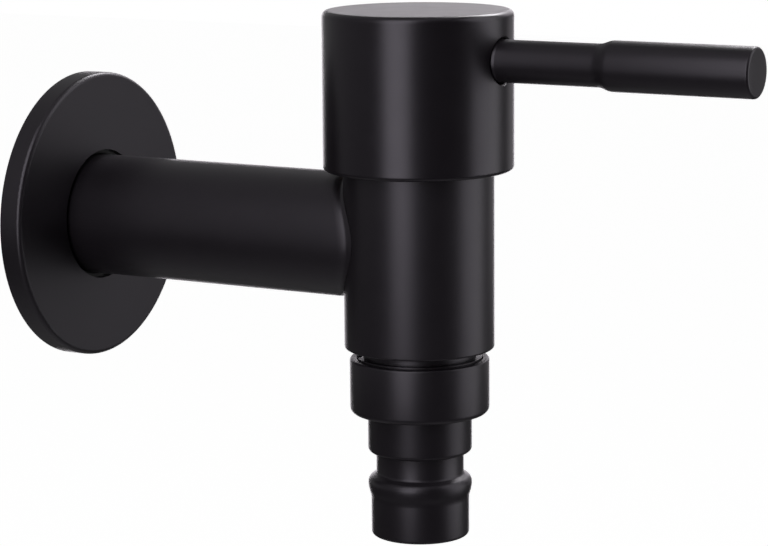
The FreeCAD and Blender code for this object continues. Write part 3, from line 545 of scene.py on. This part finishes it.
def lapped_ceramic(name):
    """Fired ceramic: off-white with a faint speckle and a lapped, half-glossy face."""
    made, shader, here = start_material(name)
    cloud = here.node("ShaderNodeTexNoise", inputs={"Vector": here, "Scale": 300.0, "Detail": 3.0})
    speck = here.node("ShaderNodeTexVoronoi", inputs={"Vector": here, "Scale": 1400.0})
    shade = 0.8 * cloud + 0.2 * (speck < speck_radius)
    here.node("ShaderNodeMix", {"data_type": "RGBA"}, {
        0: shade, 6: ceramic_white, 7: ceramic_cream}, output=2).into(shader, "Base Color")
    (0.16 + 0.18 * cloud).into(shader, "Roughness")
    here.node("ShaderNodeBump", inputs={
        "Height": cloud, "Strength": 0.1, "Distance": 0.00001}).into(shader, "Normal")
    return made


ceramic = lapped_ceramic("ceramic")
for name in ("fixed_disc", "moving_disc"):
    paint_piece(nodes[name], ceramic)

# Spindle and cartridge housing: turned brass with milled windows and serrations. The spindle drops
# into the housing from below with its two rubber rings, and the housing screws into the body.
spindle_brass = raw_brass("spindle_brass", body_centre, upright=True)
for name in ("spindle", "cartridge_housing"):
    paint_piece(nodes[name], spindle_brass)
rubber_black = (0.016, 0.016, 0.017, 1)
rubber_worn = (0.034, 0.034, 0.035, 1)
black_rubber = moulded_rubber("black_rubber", rubber_black, rubber_worn)
for name in ("spindle_rings", "housing_ring"):
    paint_piece(nodes[name], black_rubber)

# Thrust washer and guide ring: moulded white plastic rings, one under the housing's shoulder and one
# snapped into the body's top groove, which centres the cap.
acetal_white = (0.86, 0.86, 0.84, 1)
acetal_grey = (0.79, 0.79, 0.77, 1)


def white_plastic(name):
    """Moulded acetal: milky white with a soft gloss."""
    made, shader, here = start_material(name)
    flow = here.node("ShaderNodeTexNoise", inputs={"Vector": here, "Scale": 180.0, "Detail": 2.0})
    grain = here.node("ShaderNodeTexNoise", inputs={"Vector": here, "Scale": 3000.0, "Detail": 2.0})
    here.node("ShaderNodeMix", {"data_type": "RGBA"}, {
        0: flow, 6: acetal_white, 7: acetal_grey}, output=2).into(shader, "Base Color")
    (0.32 + 0.12 * grain).into(shader, "Roughness")
    here.node("ShaderNodeBump", inputs={
        "Height": grain, "Strength": 0.15, "Distance": 0.00001}).into(shader, "Normal")
    return made


acetal = white_plastic("white_plastic")
for name in ("thrust_washer", "guide_ring"):
    paint_piece(nodes[name], acetal)

# Circlip and grub screw: hardened steel, blackened in a bath. The clip keeps the spindle in the housing,
# and the screw holds the handle on the spindle from behind.
steel_grey = (0.30, 0.30, 0.31, 1)
steel_brown = (0.17, 0.16, 0.15, 1)


def blackened_steel(name):
    """Blackened steel: dark, a little brown in places, with a dull shine."""
    made, shader, here = start_material(name, metallic=1.0)
    cloud = here.node("ShaderNodeTexNoise", inputs={"Vector": here, "Scale": 700.0, "Detail": 4.0})
    here.node("ShaderNodeMix", {"data_type": "RGBA"}, {
        0: cloud, 6: steel_grey, 7: steel_brown}, output=2).into(shader, "Base Color")
    (0.34 + 0.2 * cloud).into(shader, "Roughness")
    here.node("ShaderNodeBump", inputs={
        "Height": cloud, "Strength": 0.2, "Distance": 0.00001}).into(shader, "Normal")
    return made


steel = blackened_steel("spring_steel")
for name in ("circlip", "handle_screw"):
    paint_piece(nodes[name], steel)

# Handle cap: a turned brass cup with a serrated bore, sprayed black outside. It drops over the housing
# onto the spindle's serrations, and its skirt runs round the guide ring.
cap_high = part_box("handle_cap")[1]
cap_radius = cap_high.x
skirt_inside = 0.0142
hub_height = 0.0242
hub_bore = 0.0042
hub_top = cap_high.z - 0.0015
cap_rough = 0.29
cap_gloss = 0.44


def bare_cup(here):
    """A mask for the cup's bare inside: its cavity and its serrated bore."""
    out, height = from_axis(here, body_centre, upright=True)
    cavity = (out < skirt_inside) * (height < hub_height)
    return cavity.maths("MAXIMUM", cavity, (out < hub_bore) * (height < hub_top))


paint_piece(nodes["handle_cap"], black_coat("cap_coat", bare_cup, rough=cap_rough, gloss=cap_gloss))

# Lever: one turned brass bar, sprayed black, with a thread that screws into the cap, a small swelling
# where it leaves the cap's seat, a slim shank and a thicker grip.
lever_low, lever_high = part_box("lever")
lever_root = Vector((0, body_centre.y, (lever_low.z + lever_high.z) / 2))
lever_start = body_centre.y - lever_high.y
lever_reach = body_centre.y - lever_low.y
lever_screw = 0.0025
lever_pitch = 0.0008
lever_depth = 0.0004
lever_turns = 8
lever_chamfer = 0.0004
lever_edge = 0.0005
bare_screw = lever_screw + 0.0002
lever_seat = cap_radius - 0.002
shank_radius = 0.0035
root_swell = 0.00014
root_start = cap_radius - 0.0008
root_crest = cap_radius - 0.00055
root_end = cap_radius - 0.0001
root_edge = 0.0001
shoulder_start = 0.0332
shoulder_end = 0.0349
grip_radius = lever_high.x
lever = turn("turned_lever", lever_root, out_from_wall, [
    (0, lever_start),
    (lever_screw - lever_chamfer, lever_start),
    (lever_screw, lever_start + lever_chamfer),
    (lever_screw, lever_seat),
    (shank_radius, lever_seat),
    (shank_radius, root_start),
    (shank_radius + root_swell, root_crest, root_edge / 2),
    (shank_radius, root_end, root_edge),
    (shank_radius, shoulder_start, lever_edge),
    (grip_radius, shoulder_end, lever_edge),
    (grip_radius, lever_reach, lever_edge),
    (0, lever_reach),
], steps=96)
cut_thread(
    lever, lever_root + (lever_start - lever_pitch / 2) * out_from_wall, out_from_wall, lever_turns,
    lever_screw, lever_pitch, lever_depth, steps=48)


def bare_lever_screw(here):
    """A mask for the bare thread, which is hidden in the cap."""
    out, along = from_axis(here, lever_root, upright=False)
    return (out < bare_screw) * (along > -lever_seat - fine_play)


paint_piece(lever, black_coat("lever_coat", bare_lever_screw, gloss=small_gloss))
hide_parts("lever")
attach(lever, "handle")

# Connector gasket and hose connector: a rubber washer, and a turned brass nipple that screws onto the
# outlet. Its waist and rounded bead hold a push-on coupling, and it is sprayed black outside.
paint_piece(nodes["connector_gasket"], black_rubber)
nipple_low, nipple_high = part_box("hose_connector")
gasket_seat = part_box("connector_gasket")[0].z
nipple_bore = 0.0055
nipple_radius = nipple_high.x
collar_bottom = -0.02903
step_radius = 0.0087
step_bottom = -0.0357
waist_radius = 0.00732
bead_radius = 0.0087
bead_top = -0.0394
bead_crest = -0.0403
bead_bottom = -0.0418
tip_radius = 0.0082
tip_top = -0.0433
collar_edge = 0.001
collar_top_edge = 0.00035
step_edge = 0.0007
waist_edge = 0.0003
tip_shoulder_edge = 0.0005
tip_edge = 0.0006
mouth_edge = 0.0004
thread_edge = 0.0002
bare_way = nipple_bore + 0.0005
bare_thread_low = gasket_seat - 0.0002
bare_thread_high = nipple_high.z - 0.0012
bare_thread = housing_bore + 0.0002
nipple = turn("turned_connector", body_centre, up, [
    (nipple_bore, nipple_low.z, mouth_edge),
    (tip_radius, nipple_low.z, tip_edge),
    (tip_radius, tip_top, tip_shoulder_edge),
    (bead_radius, bead_bottom, step_edge),
    (bead_radius, bead_crest, step_edge),
    (waist_radius, bead_top, waist_edge),
    (waist_radius, step_bottom, waist_edge),
    (step_radius, step_bottom, step_edge),
    (step_radius, collar_bottom, waist_edge),
    (nipple_radius, collar_bottom, collar_edge),
    (nipple_radius, nipple_high.z, collar_top_edge),
    (housing_bore, nipple_high.z, thread_edge),
    (housing_bore, gasket_seat),
    (nipple_bore, gasket_seat),
], steps=192)


def bare_nipple(here):
    """A mask for the nipple's bare inside: its water way, its thread and the gasket's seat."""
    out, height = from_axis(here, body_centre, upright=True)
    way = out < bare_way
    thread = (out < bare_thread) * (height > bare_thread_low) * (height < bare_thread_high)
    return way.maths("MAXIMUM", way, thread)


paint_piece(nipple, black_coat("nipple_coat", bare_nipple, gloss=small_gloss))
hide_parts("hose_connector")
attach(nipple, "fixed")

# Escutcheon and its ring: a turned brass disc, sprayed black, that slides on the arm to the wall.
# A rubber ring in its bore grips the arm, squeezed a little flat against it.
paint_piece(nodes["escutcheon"], black_coat("escutcheon_coat"))
ring_low, ring_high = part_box("escutcheon_ring")
ring_play = 0.00001
ring_inside = arm_radius + ring_play
ring_rounding = 0.0005
grip_ring = turn("grip_ring", wall_centre, out_from_wall, [
    (ring_inside, -ring_high.y, ring_rounding),
    (ring_high.x, -ring_high.y, ring_rounding),
    (ring_high.x, -ring_low.y, ring_rounding),
    (ring_inside, -ring_low.y, ring_rounding),
])
paint_piece(grip_ring, black_rubber)
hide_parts("escutcheon_ring")
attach(grip_ring, "wall_plate")
